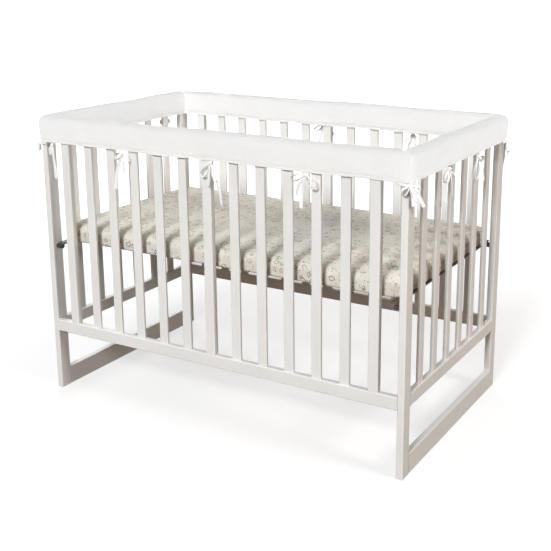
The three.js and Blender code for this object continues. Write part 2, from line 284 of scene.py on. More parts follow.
def stitches(tree, along, up, lines):
    """1 on the stitches of the seams that run at the given heights, 0 elsewhere."""
    step = maths(tree, "FRACT", maths(tree, "DIVIDE", along, STITCH_STEP))
    shown = mapped(tree, off_by(tree, step, 0.5), STITCH_ENDS, (1, 0))
    total = 0.0
    for line in lines:
        total = maths(tree, "ADD", total, stroke(tree, off_by(tree, up, line), STITCH_HALF))
    return maths(tree, "MULTIPLY", shown, total)


def cloth_surface(tree, shader, colour, rough, sheen):
    tree.links.new(colour, shader.inputs["Base Color"])
    shader.inputs["Roughness"].default_value = rough
    shader.inputs["Sheen Weight"].default_value = sheen
    shader.inputs["Specular IOR Level"].default_value = CLOTH_SPECULAR


# Materials

COVER_WHITES = ((0.83, 0.832, 0.835), (0.87, 0.872, 0.875))
THREAD_WHITE = (0.74, 0.74, 0.74)
THREAD_SHOWS = 0.5
HEM_STITCH = 5.5 * MM
STITCH_STEP = 4 * MM
STITCH_HALF = 0.7 * MM
STITCH_ENDS = (0.34, 0.42)  # where a stitch starts to fade and where it is gone, as shares of a step
TAPE_WHITES = ((0.84, 0.842, 0.845), (0.89, 0.892, 0.895))
SHEET_CREAMS = ((0.665, 0.63, 0.57), (0.725, 0.695, 0.64))
INKS = ((0.10, 0.09, 0.08), (0.42, 0.32, 0.09))
INK_DENSITY = 0.85
PRINT_STRAY = 0.75  # how far motifs stray from an even grid
PRINT_WOBBLE_SCALE = 2.4
# Motifs in a metre across and down, their size and line as shares of a cell, and the share that is drawn
PRINT = (
    {"scale": (34, 38), "size": 0.25, "line": 0.055, "share": 0.30, "shift": 0.0, "wobble": 0.30},
    {"scale": (47, 41), "size": 0.20, "line": 0.070, "share": 0.30, "shift": 0.37, "wobble": 0.45},
    {"scale": (80, 74), "size": 0.06, "line": 0.110, "share": 0.44, "shift": 0.71, "wobble": 0.0},
)
PAINTS = ((0.78, 0.775, 0.76), (0.815, 0.81, 0.795))
PAINT_GRAIN = (0.69, 0.675, 0.65)
PAINT_GRAIN_FROM = (0.55, 0.8)
PAINT_GRAIN_SHOWS = (0, 0.3)
PAINT_ROUGH = (0.42, 0.56)
GRAIN_LONG = 0.04  # scale along the grain, with 1 across it
# the pegs' own dark metal, darkened further as painted shade under the mattress
PEG_DARK_AND_SHADE = (0.045, 0.038, 0.033)
# the board's own brown, darkened further as painted shade from the mattress above
BOARD_BROWNS_AND_SHADE = ((0.085, 0.060, 0.038), (0.14, 0.10, 0.065))
BOARD_GRAIN = (0.35, 0.7)


def cover_cloth():
    """White cotton over a thin pad, with a line of stitches along each hem."""
    material, tree, shader = new_material("padded_cloth")
    uv = uv_of(tree)
    along, up, _ = split(tree, uv)
    tint = noise_value(tree, uv, scale=14.0)
    slub = noise_value(tree, scaled(tree, uv, (1, 0.18, 1)), scale=420.0, detail=2.0)
    share = maths(tree, "MULTIPLY", maths(tree, "ADD", tint, slub), 0.5)
    colour = mixed(tree, mapped(tree, share, NOISE_MIDDLE), *COVER_WHITES)
    sewn = stitches(tree, along, up, (HEM_STITCH, OUTER_ALONG[-1] - HEM_STITCH))
    colour = mixed(tree, maths(tree, "MULTIPLY", sewn, THREAD_SHOWS), colour, THREAD_WHITE)
    cloth_surface(tree, shader, colour, rough=0.88, sheen=0.2)
    dimples = noise_value(tree, uv, scale=70.0, detail=4.0)
    soft = bumped(tree, shader, dimples, distance=1.2 * MM, strength=0.45)
    cloth = bumped(tree, shader, slub, distance=0.4 * MM, strength=0.5, below=soft)
    threads = weave(tree, uv, pitch=0.7 * MM)
    woven = bumped(tree, shader, threads, distance=0.18 * MM, strength=0.6, below=cloth)
    bumped(tree, shader, sewn, distance=0.6 * MM, strength=-0.8, below=woven)
    return material


def tape_cloth():
    """The same cotton, folded and sewn into a narrow tape."""
    material, tree, shader = new_material("tie_tape")
    uv = uv_of(tree)
    slub = noise_value(tree, scaled(tree, uv, (1, 0.3, 1)), scale=500.0, detail=2.0)
    colour = mixed(tree, mapped(tree, slub, NOISE_MIDDLE), *TAPE_WHITES)
    cloth_surface(tree, shader, colour, rough=0.85, sheen=0.2)
    cloth = bumped(tree, shader, slub, distance=0.4 * MM, strength=0.5)
    threads = weave(tree, uv, pitch=0.6 * MM)
    bumped(tree, shader, threads, distance=0.16 * MM, strength=0.6, below=cloth)
    return material


def motif_drawn(tree, uv, motif):
    """The share of ink of one kind of motif, uneven rings or dots, and how light each motif's ink is."""
    place = scaled(tree, uv, (*motif["scale"], 1), motif["shift"])
    uneven = node(tree, "ShaderNodeTexNoise", vector=place, scale=PRINT_WOBBLE_SCALE, detail=1.0)
    drift = tree.nodes.new("ShaderNodeVectorMath")
    drift.operation = "MULTIPLY_ADD"
    tree.links.new(uneven.outputs["Color"], drift.inputs[0])
    drift.inputs[1].default_value = (motif["wobble"], motif["wobble"], 0)
    tree.links.new(place, drift.inputs[2])
    cells = node(tree, "ShaderNodeTexVoronoi", voronoi_dimensions="2D", vector=drift.outputs[0], scale=1.0,
                 randomness=PRINT_STRAY)
    line = stroke(tree, off_by(tree, cells.outputs["Distance"], motif["size"]), motif["line"])
    red, green, _ = split(tree, cells.outputs["Color"])
    return maths(tree, "MULTIPLY", line, maths(tree, "LESS_THAN", red, motif["share"])), green


def printed_cloth():
    """Cream cotton with a small generic print of uneven rings, pebbles and dots."""
    material, tree, shader = new_material("mattress_cloth")
    uv = uv_of(tree)
    colour = mixed(tree, mapped(tree, noise_value(tree, uv, scale=9.0), NOISE_MIDDLE), *SHEET_CREAMS)
    for motif in PRINT:
        drawn, light = motif_drawn(tree, uv, motif)
        colour = mixed(tree, maths(tree, "MULTIPLY", drawn, INK_DENSITY), colour, mixed(tree, light, *INKS))
    cloth_surface(tree, shader, colour, rough=0.85, sheen=0.15)
    dimples = noise_value(tree, uv, scale=60.0, detail=4.0)
    cloth = bumped(tree, shader, dimples, distance=1.2 * MM, strength=0.5)
    threads = weave(tree, uv, pitch=0.6 * MM)
    bumped(tree, shader, threads, distance=0.15 * MM, strength=0.6, below=cloth)
    return material


def painted_wood(name, along, pegs=False):
    """Light warm grey paint, with faint grain along the timber; the pegs of a post are dark: partly their
    own dark metal, partly painted shade under the mattress.
    """
    material, tree, shader = new_material(name)
    place = object_place(tree)
    stretch = [1.0, 1.0, 1.0]
    stretch["xyz".index(along)] = GRAIN_LONG
    grain = noise_value(tree, scaled(tree, place, stretch), scale=260.0, detail=5.0, rough=0.6)
    patch = noise_value(tree, place, scale=6.0)
    colour = mixed(tree, mapped(tree, patch, NOISE_MIDDLE), *PAINTS)
    colour = mixed(tree, mapped(tree, grain, PAINT_GRAIN_FROM, PAINT_GRAIN_SHOWS), colour, PAINT_GRAIN)
    # Painted shade: the pegs under the mattress are given a near-black colour, beyond their own dark metal
    if pegs:
        inside = maths(tree, "LESS_THAN", maths(tree, "ABSOLUTE", split(tree, place)[0]), PEG_FROM)
        colour = mixed(tree, inside, colour, PEG_DARK_AND_SHADE)
    tree.links.new(colour, shader.inputs["Base Color"])
    rough = mapped(tree, noise_value(tree, place, scale=45.0), NOISE_MOST, PAINT_ROUGH)
    tree.links.new(rough, shader.inputs["Roughness"])
    brushed = noise_value(tree, place, scale=900.0, detail=2.0)
    skin = bumped(tree, shader, brushed, distance=0.2 * MM, strength=0.35)
    bumped(tree, shader, grain, distance=0.5 * MM, strength=0.3, below=skin)
    return material


def board_wood():
    """Brown stained board under the mattress, its grain along the crib; its dark tone is partly painted
    shade from the mattress above.
    """
    material, tree, shader = new_material("base_board")
    stretched = scaled(tree, object_place(tree), (0.05, 1, 1))
    grain = noise_value(tree, stretched, scale=120.0, detail=6.0, rough=0.6)
    colour = mixed(tree, mapped(tree, grain, BOARD_GRAIN), *BOARD_BROWNS_AND_SHADE)
    tree.links.new(colour, shader.inputs["Base Color"])
    shader.inputs["Roughness"].default_value = 0.6
    bumped(tree, shader, grain, distance=0.6 * MM, strength=0.4)
    return material


# Cover sections

# Millimetres out from the rail's centre and up from the hem, share of the swell and of the top's wave
OUTER_ROWS = np.array((
    (15.2, 0, 0, 0), (16.0, 1.0, 0, 0), (16.4, 5.4, 0, 0), (16.3, 7.2, 0.1, 0), (18.4, 9.4, 0.3, 0),
    (21.8, 13.0, 0.5, 0), (25.0, 25.0, 1, 0), (26.0, 44.0, 1, 1), (26.0, 60.0, 0.8, 1),
    (23.3, 72.0, 0.6, 1), (16.0, 79.3, 0.4, 1), (6.0, 82.0, 0, 1),
)) * (MM, MM, 1, 1)
CHANNEL_ROWS = np.array((
    (-13.2, 0, 0, 0), (-12, 1.4, 0, 0), (-12, 67.2, 0, 0), (-8, 68.2, 0, 0), (-4, 66.3, 0, 0),
    (4, 66.3, 0, 0), (8, 68.2, 0, 0), (12, 67.2, 0, 0), (12, 1.4, 0, 0), (13.2, 0, 0, 0),
)) * (MM, MM, 1, 1)
CHANNEL_HELD = (1, 1, 0, 0, 0, 0, 0, 0, 1, 1)  # 1 where a row moves with the hem, 0 on the rail
MIRROR = np.array((-1, 1, 1, 1))
OUTER_COUNT = 112
OUTER_LINE, OUTER_ALONG = smooth_line(
    np.concatenate([OUTER_ROWS, (OUTER_ROWS * MIRROR)[::-1]]), OUTER_COUNT)
OUTER_TANGENTS = np.gradient(OUTER_LINE[:, :2], axis=0)
OUTER_NORMALS = unit(np.stack([OUTER_TANGENTS[:, 1], -OUTER_TANGENTS[:, 0]], axis=1))
STATION_STEP = 5 * MM
CORNER_STATIONS = 18
CORNER_MAP = 30 * MM  # length of cloth that the map gives to half a corner
CHANNEL_MAP = 140 * MM  # and to the channel

# Relief of the cover's cloth: heights, and the lengths over which they change
DENTS = {"high": 1.1 * MM, "long": (110 * MM, 70 * MM, 1), "slice": 0.5}
FOLDS = {"high": 0.9 * MM, "long": (300 * MM, 30 * MM, 1), "slice": 7.5}
FOLDS_LEAN = 300 / 90  # metres along for each metre round the outline
HEM_FLAT = 6.5 * MM  # the hem's band, which has no puckers
PUCKERS = {"high": 1.1 * MM, "long": (17 * MM, 90 * MM, 1), "slice": 13.5}
PUCKERS_FULL = 8 * MM
PUCKERS_FADE = 16 * MM
GATHERS = {"high": 1.4 * MM, "long": (13 * MM, 60 * MM, 1), "slice": 21.5}
GATHERS_FADE = 22 * MM
PADDING_GROWS = 9 * MM
PADDING_FULL_FROM = 60 * MM
DRAWN_IN = 6 * MM
DRAWN_FADE = 9 * MM
CREASE = 2.4 * MM
CREASE_FADE = 3 * MM
TIED_IN = 0.5  # extra share drawn in at the outer hem, where a corner's tie pulls
TIED_FADE = 30 * MM
PINCH = 1.6 * MM
PINCH_LONG = 20 * MM
PINCH_HIGH = 30 * MM
FAN = 0.9 * MM
FAN_FADE = 22 * MM
FAN_RAYS = 5.0
FAN_BELOW = 4 * MM  # how far under the hem the folds of a fan meet


def wave(kind, u, side):
    """Height of the soft waves along a section; they fade out at its corners."""
    _, run, _, start = SIDES[side]
    fade = 1 - (np.abs(u) / (run - PIVOT_INSET)) ** FADE_POWER
    heights = (high * np.sin(2 * math.pi * u / long + start + WAVE_SHIFT * i)
               for i, (long, high) in enumerate(WAVES[kind]))
    return fade * sum(heights)


def corner_point(distance, angle):
    """How far a section point lies beyond and away from the corner's pivot, part way round it."""
    reach_in = CHANNEL_HALF + PIVOT_REACH
    wide = CHANNEL_ROUND + (distance - reach_in) * (CORNER_ROUND - CHANNEL_ROUND) / (HALF - CHANNEL_HALF)
    turn_round = np.where(distance > reach_in, wide, CHANNEL_ROUND * distance / reach_in)
    s, k = np.sin(angle), np.cos(angle)
    centre = distance - turn_round
    inside = np.maximum((centre * (s + k)) ** 2 - 2 * centre**2 + turn_round**2, 0)
    reach = centre * (s + k) + np.sqrt(inside)
    straight = distance * s / k <= centre
    beyond = np.where(straight, distance * s / k, reach * s)
    away = np.where(straight, distance, reach * k)
    return beyond, away


def tie_pinch(off, hem):
    """Cloth pulled in over a tie, with a fan of small folds; off is the distance along from the tie."""
    near = np.exp(-(off / PINCH_LONG) ** 2) * np.exp(-hem / PINCH_HIGH)
    rays = np.cos(FAN_RAYS * np.arctan2(off, hem + FAN_BELOW))
    fan = np.exp(-np.hypot(off, hem) / FAN_FADE) * (hem > HEM_FLAT)
    return FAN * rays * fan - PINCH * near


def cover_relief(side, u, seam, run):
    """Dents, puckers, the seam drawn in and the pinches of ties, in metres outwards.

    u is the place along the section, seam the distance from its mitre, run the place round its outline.
    """
    order, half_run, _, _ = SIDES[side]
    hem = np.minimum(run, run[-1] - run)
    puckers = relief_of(PUCKERS, u, run, order) * (hem > HEM_FLAT)
    puckers = puckers * np.exp(-np.maximum(hem - PUCKERS_FULL, 0) / PUCKERS_FADE)
    gathers = relief_of(GATHERS, run, seam, order) * np.exp(-seam / GATHERS_FADE)
    padding = np.clip((np.abs(OUTER_LINE[:, 0]) - HEM_HALF) / PADDING_GROWS, 0, 1)
    padding = np.where(OUTER_LINE[:, 1] > PADDING_FULL_FROM, 1, padding)
    tied = 1 + TIED_IN * np.exp(-run / TIED_FADE)
    drawn = DRAWN_IN * np.exp(-seam / DRAWN_FADE) + CREASE * np.exp(-seam / CREASE_FADE)
    relief = relief_of(DENTS, u, run, order) + relief_of(FOLDS, u + FOLDS_LEAN * run, run, order)
    relief = relief + puckers + gathers - padding * tied * drawn
    for tie in RAIL_TIES:
        if tie["side"] == side:
            off = u - (tie["at"] * MM - half_run)
            relief = relief + tie_pinch(off, hem) * (run < run[-1] / 2)
    return relief


def section_stations(pivot):
    """Stations along a section: the place along it, and how far each one has turned into the mitre."""
    straight = np.linspace(-pivot, pivot, int(2 * pivot / STATION_STEP) + 1)
    turning = np.sin(np.linspace(0, math.pi / 2, CORNER_STATIONS + 1)[1:])
    ends = np.full(CORNER_STATIONS, pivot)
    u = np.concatenate([-ends, straight, ends])
    part = np.concatenate([turning[::-1], np.zeros(len(straight)), turning])
    return u[:, None], part[:, None]


def cover_section(side, material):
    """One section of the cover with its channel, from mitre to mitre."""
    turn, run, depth, _ = SIDES[side]
    pivot = run - PIVOT_INSET
    rows = np.concatenate([OUTER_LINE, CHANNEL_ROWS])
    u, part = section_stations(pivot)
    hand = np.sign(u) * (part > 0)
    seam = pivot - np.abs(u) + CORNER_MAP * (1 - part)
    laid = u + hand * CORNER_MAP * part

    out = rows[:, 0] + np.sign(rows[:, 0]) * rows[:, 2] * wave("swell", u, side)
    lift = (1 - rows[:, 3]) * wave("hem", u, side) + rows[:, 3] * wave("top", u, side)
    up = rows[:, 1] + lift * np.concatenate([np.ones(OUTER_COUNT), CHANNEL_HELD])
    relief = cover_relief(side, laid, seam, OUTER_ALONG)
    out[:, :OUTER_COUNT] += relief * OUTER_NORMALS[:, 0]
    up[:, :OUTER_COUNT] += relief * OUTER_NORMALS[:, 1]

    distance = out + PIVOT_REACH
    beyond, away = corner_point(distance, part * HALF_CORNER)
    x = u + hand * (beyond - MITRE_GAP * part)
    y = -(depth - PIVOT_INSET + np.where(part > 0, away, distance))
    points = turned(np.stack(np.broadcast_arrays(x, y, HEM_HIGH + up), axis=-1), turn)

    channel = np.linspace(OUTER_ALONG[-1], OUTER_ALONG[-1] + CHANNEL_MAP, len(CHANNEL_ROWS) + 1)[1:]
    line = np.concatenate([OUTER_ALONG, channel])
    uvs = np.stack(np.broadcast_arrays(laid, line), axis=-1).reshape(-1, 2)
    faces = ring_faces(len(u), len(rows))
    return outward(mesh_object(f"rail_cover_{side}", points.reshape(-1, 3), faces, material, uvs))


# Ties

# Where each one sits is measured from its section's left end. A loop is its angle, from straight down (0)
# towards the right as seen from outside (90), its length, its half width and its lean. A tail is how far
# it ends across and down from its knot, and its twist. Millimetres and degrees.
RAIL_TIES = [
    {"side": "front", "at": 52, "loops": [], "tails": [(9, 104, 0), (-10, 30, 0)]},
    {"side": "front", "at": 331, "loops": [(-58, 32, 9, 20), (35, 30, 8, -25)],
     "tails": [(-32, 112, 25), (5, 58, 0)]},
    {"side": "front", "at": 644, "loops": [(-36, 50, 10, 0), (22, 54, 10, 30)],
     "tails": [(36, 118, -20), (-9, 66, 0)]},
    {"side": "front", "at": 949, "loops": [(-72, 48, 8, 20), (42, 44, 10, -10)],
     "tails": [(-29, 56, 0), (-13, 92, 30)]},
    {"side": "right", "at": 244, "loops": [(-42, 42, 10, 10), (58, 36, 10, -20)],
     "tails": [(-22, 92, 0), (24, 84, 30)]},
    {"side": "right", "at": 462, "loops": [(-14, 68, 11, 25), (68, 48, 9, 0)],
     "tails": [(58, 82, 20), (-16, 60, 0)]},
    {"side": "back", "at": 650, "loops": [(-40, 30, 8, 0), (62, 38, 8, 15)],
     "tails": [(-40, 26, 0), (14, 62, 0)]},
    {"side": "back", "at": 312, "loops": [(-30, 42, 9, 0), (36, 40, 9, 0)],
     "tails": [(-14, 74, 20), (20, 66, 0)]},
    {"side": "left", "at": 288, "loops": [(-52, 34, 8, 0), (52, 34, 8, 0)],
     "tails": [(-12, 60, 0), (14, 70, 0)]},
    {"side": "left", "at": 98, "loops": [(-40, 34, 8, 0), (46, 32, 8, 0)],
     "tails": [(-15, 66, 0), (10, 58, 0)]},
]
CORNER_TIES = [
    {"name": "front_right", "turn": 0, "loops": [(72, 26, 7, 20), (34, 50, 10, 0), (-48, 28, 8, 10)],
     "tails": [(12, 52, 0), (38, 56, 20)]},
    {"name": "back_right", "turn": 1, "loops": [(40, 26, 7, 0), (-36, 34, 8, 20)],
     "tails": [(20, 80, 20), (-14, 44, 0)]},
    {"name": "front_left", "turn": 3, "loops": [(-30, 24, 7, 0)], "tails": [(-12, 42, 0), (6, 34, 0)]},
]
TAPE_WIDE = 10 * MM
TAPE_THICK = 1.1 * MM
TAPE_SEAT = 0.4 * MM  # how far a strap lies sunk in the hem
TAPE_OPENS = 14 * MM  # length from the knot over which a tape opens to its full width
GATHERED = 0.5  # a tape's width at its knot, as a share of the full one
STRIP_STEPS = 40
STRIP_ACROSS = 7

# A tape's section: how square its edges are, their least share of its thickness, its cup's mean level
EDGE_POWER = 6
EDGE_LEAST = 0.12
BOWL_LEVEL = 0.4

# Depth of a tape's cupping at the knot and at full width, as shares of its width
LOOP_CUPS = (0.30, 0.06)
TAIL_CUPS = (0.28, 0.08)
STRAP_CUP = 0.1 * MM

LOOP_START = 0.03  # share of a loop that lies hidden in the knot at each end
TAIL_SPRING = (0.7, 3.0, 0.3)  # share of the way across, millimetres out, share of the way down
TAIL_END_OUT = 1.5
TAIL_SWAY = np.array((1.3, 0.52, 0)) * MM
TAIL_FACE = (1, 0, 0.3)  # the way across a tail's tape at its knot
TAIL_WAG = 14  # degrees that a tail turns to and fro as it hangs
TAIL_WAG_TURN = 5  # radians of that swing along the tail
TAIL_SLANT = 0.22  # how far each corner of the cut is moved along, as a share of the width

KNOT = np.array((6.0, 5.0, 5.5)) * MM
KNOT_OUT = 19 * MM
KNOT_DROP = 3 * MM
KNOT_ROWS = 15
KNOT_ROUND = 24
KNOT_POLE = 0.06  # radians between a knot's last ring and its pole
KNOT_WRAP = {"deep": 0.07, "turns": 4, "lean": 1.5}
KNOT_CROSS = {"deep": 0.05, "turns": 3, "lean": 2}
STRAP_BEND_POWER = 6

# The strap that wraps a post
WRAP_OUT = 3.4 * MM
WRAP_LONG = 28 * MM
WRAP_KNOT_OUT = 4 * MM
WRAP_BEND = 3 * MM
WRAP_BEND_CUT = 0.3
WRAP_DROP = 4 * MM
WRAP_WIDE = 8 * MM


def about(vectors, axes, angles):
    """The vectors turned about the axes by the angles."""
    s, k = np.sin(angles)[:, None], np.cos(angles)[:, None]
    level = (vectors * axes).sum(axis=1, keepdims=True)
    return vectors * k + np.cross(axes, vectors) * s + axes * level * (1 - k)


def all_along(way):
    """The same direction at each step of a strip."""
    return np.repeat(np.array(way, dtype=float)[None], STRIP_STEPS, axis=0)


def tape_strip(path, wide_way, wides, cups, slant=0.0):
    """Rings of points round a flat tape that follows the path, cupped across its width."""
    tangent = unit(np.gradient(path, axis=0))
    across = unit(wide_way - tangent * (wide_way * tangent).sum(axis=1, keepdims=True))
    normal = np.cross(tangent, across)
    spread = np.linspace(-1, 1, STRIP_ACROSS)
    edge = np.sqrt(np.clip(1 - np.abs(spread) ** EDGE_POWER, EDGE_LEAST, 1))
    rings = []
    for i, centre in enumerate(path):
        end = slant * wides[i] * (i == len(path) - 1)
        bowl = cups[i] * (spread**2 - BOWL_LEVEL)
        middle = (centre + np.outer(spread * wides[i] / 2, across[i]) + np.outer(bowl, normal[i])
                  + np.outer(spread * end, tangent[i]))
        thick = np.outer(edge * TAPE_THICK / 2, normal[i])
        rings.append(np.concatenate([middle + thick, (middle - thick)[::-1]]))
    return np.array(rings)


def opened_share(length):
    """From 0 at the knot to 1 where the tape has opened to its full width."""
    t = np.clip(length / TAPE_OPENS, 0, 1)
    return t * t * (3 - 2 * t)


def opened_wides(share):
    return TAPE_WIDE * (GATHERED + (1 - GATHERED) * share)


def opened_cups(cups, share):
    at_knot, at_full = cups
    return TAPE_WIDE * (at_knot + (at_full - at_knot) * share)


def loop_strip(angle, long, half, lean):
    """A loop that leaves the knot and comes back to it, and the length of its tape."""
    turn = math.radians(angle)
    axis = np.array((math.sin(turn), 0, -math.cos(turn)))
    flat = np.array(((math.cos(turn), 0, math.sin(turn)),))
    side = about(flat, axis[None], np.array([math.radians(lean)]))[0]
    t = np.linspace(LOOP_START, 1 - LOOP_START, STRIP_STEPS)[:, None]
    path = axis * long * MM * np.sin(math.pi * t) + side * half * MM * np.sin(2 * math.pi * t)
    run = path_length(path)
    share = opened_share(np.minimum(run, run[-1] - run))
    width = all_along(np.cross(axis, side))
    return tape_strip(path, width, opened_wides(share), opened_cups(LOOP_CUPS, share)), run[-1]


def tail_strip(across, down, twist):
    """A free end that springs from the knot and hangs, cut on a slant, and the length of its tape."""
    share_across, out, share_down = TAIL_SPRING
    spring = np.array((across * share_across, -out, -down * share_down)) * MM
    end = np.array((across, -TAIL_END_OUT, -down)) * MM
    t = np.linspace(0, 1, STRIP_STEPS)[:, None]
    path = 2 * t * (1 - t) * spring + t**2 * end + np.sin(2 * math.pi * t + across) * t * TAIL_SWAY
    run = path_length(path)
    share = opened_share(run)
    t = t[:, 0]
    angles = np.radians(twist * t + TAIL_WAG * np.sin(TAIL_WAG_TURN * t + down) * t)
    width = about(all_along(unit(np.array(TAIL_FACE))), all_along((0, 0, 1)), angles)
    cups = opened_cups(TAIL_CUPS, share) * (1 if down % 2 else -1)
    return tape_strip(path, width, opened_wides(share), cups, slant=TAIL_SLANT), run[-1]


def knot_rings():
    """A tight knot: a rounded lump with the creases of the tape that wraps it."""
    polar = np.linspace(KNOT_POLE, math.pi - KNOT_POLE, KNOT_ROWS)[:, None]
    round_way = np.linspace(0, 2 * math.pi, KNOT_ROUND, endpoint=False)[None]
    wrap = KNOT_WRAP["deep"] * np.cos(KNOT_WRAP["turns"] * polar + KNOT_WRAP["lean"] * np.sin(round_way))
    cross = KNOT_CROSS["deep"] * np.cos(KNOT_CROSS["turns"] * round_way + KNOT_CROSS["lean"] * polar)
    ridge = 1 + wrap + cross
    x = np.cos(polar) * KNOT[0] * np.ones_like(round_way)
    y = np.sin(polar) * np.sin(round_way) * KNOT[1] * ridge
    z = np.sin(polar) * np.cos(round_way) * KNOT[2] * ridge
    return np.stack([x, y, z], axis=-1)


def bow_strips(loops, tails):
    """The rings of a knot, its loops and its tails, and the length of tape in the loops and tails."""
    made = [loop_strip(*loop) for loop in loops] + [tail_strip(*tail) for tail in tails]
    return [knot_rings()] + [rings for rings, _ in made], sum(run for _, run in made)


def tie_object(name, strips, place, material):
    """One mesh of all the strips of a tie, moved to its place, with the cloth laid flat in its map."""
    points, faces, uvs = [], [], []
    start = 0
    for rings in strips:
        count = rings.shape[1]
        faces += ring_faces(len(rings), count, start)
        across = np.linalg.norm(rings - rings[:, :1], axis=2)
        run = path_length(rings.mean(axis=1)) + start * MM
        along = np.repeat(run[:, None], count, axis=1)
        uvs.append(np.stack([across, along], axis=-1).reshape(-1, 2))
        points.append(rings.reshape(-1, 3))
        start += len(rings) * count
    return outward(mesh_object(name, place(np.concatenate(points)), faces, material, np.concatenate(uvs)))


def declare_tie(piece, cad_node):
    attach(piece, "root")
    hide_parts(cad_node)


def rail_tie(tie, number, material):
    """A bow under the rail, on a strap that is sewn under both hems."""
    side = tie["side"]
    turn, run, depth, _ = SIDES[side]
    u = tie["at"] * MM - run
    centre = depth - RAIL_CENTRE
    inner = -(HEM_HALF + CHANNEL_HALF) / 2
    strap_long = KNOT_OUT - inner
    strap_top = HEM_HIGH + float(wave("hem", u, side)) - TAPE_SEAT
    strips, length = bow_strips(tie["loops"], tie["tails"])
    knot_at = (0, -centre - KNOT_OUT, strap_top - KNOT_DROP - KNOT[2] / 2)
    moved = [rings + knot_at for rings in strips]

    t = np.linspace(0, 1, STRIP_STEPS)
    high = strap_top - TAPE_THICK / 2 - KNOT_DROP * t**STRAP_BEND_POWER
    path = np.stack([0 * t, -(centre + inner + strap_long * t), high], axis=1)
    wides = opened_wides(opened_share((1 - t) * strap_long))
    moved.append(tape_strip(path, all_along((1, 0, 0)), wides, np.full(STRIP_STEPS, STRAP_CUP)))

    def place(points):
        return turned(points + (u, 0, 0), turn)

    piece = tie_object(f"tie_bow_{side}_{number}", moved, place, material)
    declare_tie(piece, f"tie_{side}_{number}")
    return piece


def corner_tie(tie, material):
    """A bow on the outer corner of a post, on a strap that wraps the post."""
    turn = tie["turn"]
    x, y = (HALF_LENGTH, HALF_WIDTH) if turn % 2 == 0 else (HALF_WIDTH, HALF_LENGTH)
    high = HEM_HIGH - TAPE_SEAT
    strips, length = bow_strips(tie["loops"], tie["tails"])
    s, k = math.sin(HALF_CORNER), math.cos(HALF_CORNER)
    spun = np.array(((k, s, 0), (-s, k, 0), (0, 0, 1)))
    knot_at = (x + WRAP_KNOT_OUT, -y - WRAP_KNOT_OUT, high - KNOT[2])
    moved = [rings @ spun + knot_at for rings in strips]

    bend_start = WRAP_OUT - WRAP_BEND
    bend_middle = WRAP_OUT - WRAP_BEND * WRAP_BEND_CUT
    legs = np.array((
        (WRAP_OUT - WRAP_LONG, -WRAP_OUT), (bend_start, -WRAP_OUT), (bend_middle, -bend_middle),
        (WRAP_OUT, -bend_start), (WRAP_OUT, WRAP_LONG - WRAP_OUT),
    ))
    flat, _ = smooth_line(legs, STRIP_STEPS)
    path = np.column_stack([flat + (x, -y), np.full(STRIP_STEPS, high - WRAP_DROP)])
    wides = np.full(STRIP_STEPS, WRAP_WIDE)
    moved.append(tape_strip(path, all_along((0, 0, 1)), wides, np.zeros(STRIP_STEPS)))

    def place(points):
        return turned(points, turn)

    piece = tie_object(f"tie_bow_corner_{tie['name']}", moved, place, material)
    declare_tie(piece, f"tie_corner_{tie['name']}")
    return piece


# Mattress in its fitted sheet

BED_ROUND = 34 * MM
BED_ROUND_TIGHTENS = 0.3  # how much the corners' radius shrinks for each metre in from the side
BED_LEAST_ROUND = 0.3 * MM
BED_LEAST_STRAIGHT = 0.2 * MM
BED_SLACK = 3 * MM
BED_CROWN = 4 * MM
SHEET_CROWN = 0.85 * BED_CROWN
SHEET_SUNK = 1 * MM  # how far the wrinkled top lies lower, so that its crests stay in bounds
LOWER_ROUND = 10 * MM
UPPER_ROUND = 24 * MM
UNDERSIDE_INSETS = (60 * MM, 36 * MM, 20 * MM)
SIDE_FROM_UP = 2 * MM
SIDE_TO_INSET = 8 * MM
ROUND_STEPS = 9
SIDE_STEPS = 5
TOP_RINGS = 36
BED_STEP = 9 * MM
BED_SOFT = {"high": 1.6 * MM, "long": (160 * MM, 120 * MM, 50 * MM), "slice": 0}
BED_WRINKLES = {"high": 1.0 * MM, "long": (45 * MM, 90 * MM, 30 * MM), "slice": 4.5}
BED_WRINKLES_LEAN = 45 / 200  # metres along for each metre across
BED_GATHERS = {"high": 1.2 * MM, "long": (16 * MM, 16 * MM, 200 * MM), "slice": 9.5}
BED_GATHERS_FADE = 20 * MM


def rounded_outline(half_x, half_y, radius, count):
    """Even points round a rectangle with round corners, and the outward direction at each."""
    quarter = math.pi / 2
    legs = [2 * (half_y - radius), radius * quarter, 2 * (half_x - radius), radius * quarter] * 2
    ends = np.cumsum(legs)
    at = np.linspace(0, ends[-1], count, endpoint=False)
    points, ways = [], []
    corners = [(1, 1), (-1, 1), (-1, -1), (1, -1)]
    for spot in at:
        leg = int(np.searchsorted(ends, spot, side="right"))
        into = spot - (ends[leg] - legs[leg])
        side = leg // 2
        corner_x, corner_y = corners[side]
        centre = np.array((corner_x * (half_x - radius), corner_y * (half_y - radius)))
        if leg % 2:
            angle = side * quarter + into / radius
            way = np.array((math.cos(angle), math.sin(angle)))
            points.append(centre + radius * way)
        else:
            way = np.array((math.cos(side * quarter), math.sin(side * quarter)))
            along = np.array((-way[1], way[0]))
            points.append(centre + radius * way - along * (legs[leg] - into))
        ways.append(way)
    return np.array(points), np.array(ways)


def bed_relief(x, y, z, side):
    """Soft wrinkles of the sheet, metres outwards; side is 1 on the sides and 0 on top."""
    soft = relief_of(BED_SOFT, x, y, z)
    wrinkles = relief_of(BED_WRINKLES, x + BED_WRINKLES_LEAN * y, y, z)
    gathers = relief_of(BED_GATHERS, x, y, z) * side * np.exp(-z / BED_GATHERS_FADE)
    return soft + wrinkles + gathers


